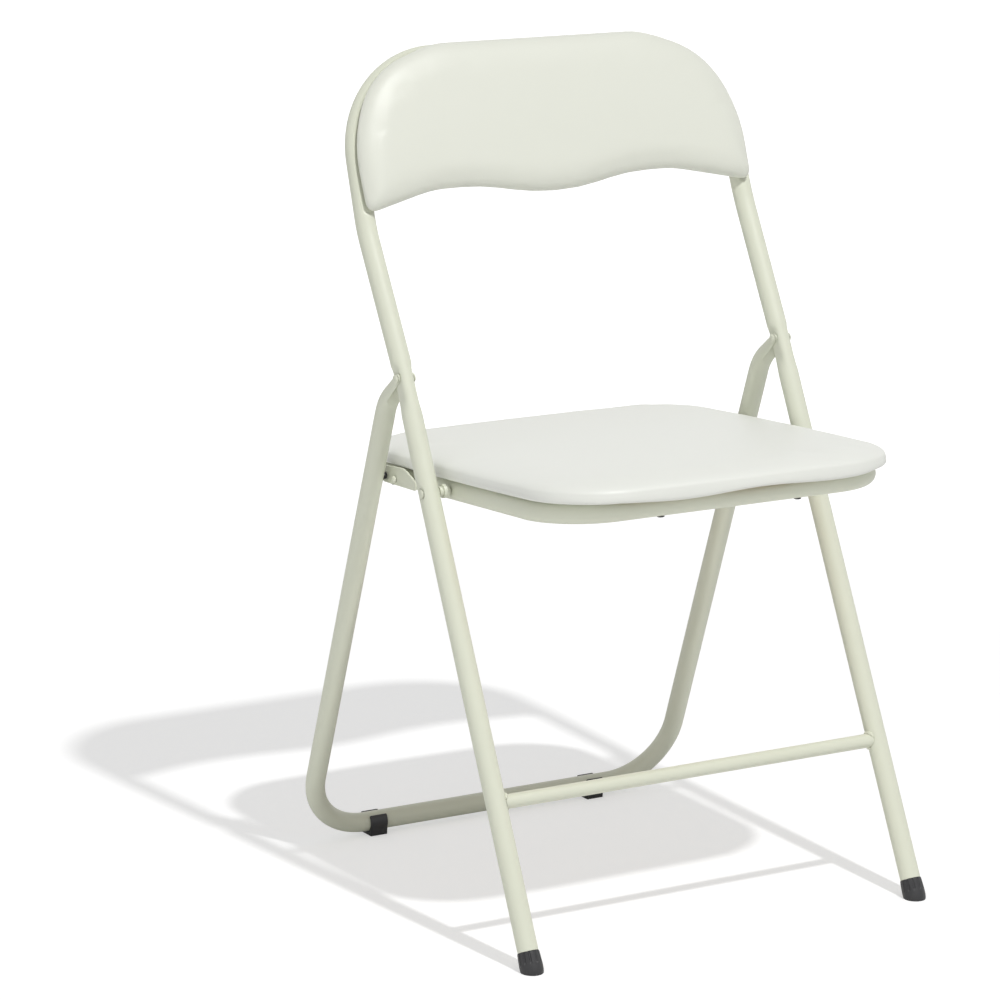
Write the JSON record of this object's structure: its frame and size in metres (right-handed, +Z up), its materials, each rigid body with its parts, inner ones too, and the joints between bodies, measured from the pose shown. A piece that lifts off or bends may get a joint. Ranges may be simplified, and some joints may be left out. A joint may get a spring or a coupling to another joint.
{
  "type": "folding_chair",
  "caption": "Folding chair of bent steel tube with a padded seat and backrest, front legs and hoop in one tube, rear legs on a fork pivot, and side links that fold the seat up flat",
  "frame": {"origin": "on the floor, under the middle of the open chair's box", "axes": "+Z up, -Y is the chair's front, +X is the right side seen from the front"},
  "size_m": [0.4376, 0.4756, 0.7841],
  "materials": {
    "sage_powder_coat": "smooth semi-gloss powder coat on steel tube and plate",
    "sage_vinyl": "smooth semi-gloss vinyl over foam",
    "black_plastic": "moulded black plastic",
    "plywood": "bare board under the pads",
    "dark_screw_steel": "dark screws"
  },
  "bodies": {
    "front_frame": {"front_frame_tube": "sage_powder_coat", "front_stretcher": "sage_powder_coat", "front_foot_cap_left": "black_plastic", "front_foot_cap_right": "black_plastic", "backrest_board": "plywood", "backrest_pad": "sage_vinyl", "backrest_screw_lower_left": "dark_screw_steel", "backrest_screw_lower_right": "dark_screw_steel", "backrest_screw_upper_left": "dark_screw_steel", "backrest_screw_upper_right": "dark_screw_steel", "leg_pivot_rivet_left": "sage_powder_coat", "leg_pivot_rivet_right": "sage_powder_coat"},
    "rear_frame": {"rear_leg_tube": "sage_powder_coat", "rear_glide_left": "black_plastic", "rear_glide_right": "black_plastic", "link_leg_pin_left": "sage_powder_coat", "link_leg_pin_right": "sage_powder_coat", "link_spacer_left": "black_plastic", "link_spacer_right": "black_plastic"},
    "seat": {"seat_frame_tube": "sage_powder_coat", "seat_board": "plywood", "seat_pad": "sage_vinyl", "seat_screw_front_left": "dark_screw_steel", "seat_screw_front_right": "dark_screw_steel", "seat_screw_rear_left": "dark_screw_steel", "seat_screw_rear_right": "dark_screw_steel", "seat_pivot_rivet_left": "sage_powder_coat", "seat_pivot_rivet_right": "sage_powder_coat", "seat_pivot_spacer_left": "sage_powder_coat", "seat_pivot_spacer_right": "sage_powder_coat", "seat_tube_plug_left": "black_plastic", "seat_tube_plug_right": "black_plastic", "link_seat_pin_left": "sage_powder_coat", "link_seat_pin_right": "sage_powder_coat"},
    "link_left": {"link_plate_left": "sage_powder_coat", "link_stud_left": "sage_powder_coat"},
    "link_right": {"link_plate_right": "sage_powder_coat", "link_stud_right": "sage_powder_coat"}
  },
  "joints": [
    {"name": "seat_fold", "type": "hinge", "parent": "front_frame", "child": "seat", "pos_m": [0, -0.02545, 0.3976], "axis": [-1, 0, 0], "range_deg": [0, 106]},
    {"name": "rear_leg_fold", "type": "hinge", "parent": "front_frame", "child": "rear_frame", "pos_m": [0, 0.0202, 0.4948], "axis": [-1, 0, 0], "range_deg": [0, 45.1]},
    {"name": "link_left_fold", "type": "hinge", "parent": "rear_frame", "child": "link_left", "pos_m": [0, 0.08101, 0.3926], "axis": [1, 0, 0], "range_deg": [0, 85.5]},
    {"name": "link_right_fold", "type": "hinge", "parent": "rear_frame", "child": "link_right", "pos_m": [0, 0.08101, 0.3926], "axis": [1, 0, 0], "range_deg": [0, 85.5]}
  ],
  "couplings": [
    {"joint": "rear_leg_fold", "follows": "seat_fold", "ratio": 0.42451},
    {"joint": "link_left_fold", "follows": "seat_fold", "ratio": 0.80427},
    {"joint": "link_right_fold", "follows": "seat_fold", "ratio": 0.80427}
  ]
}
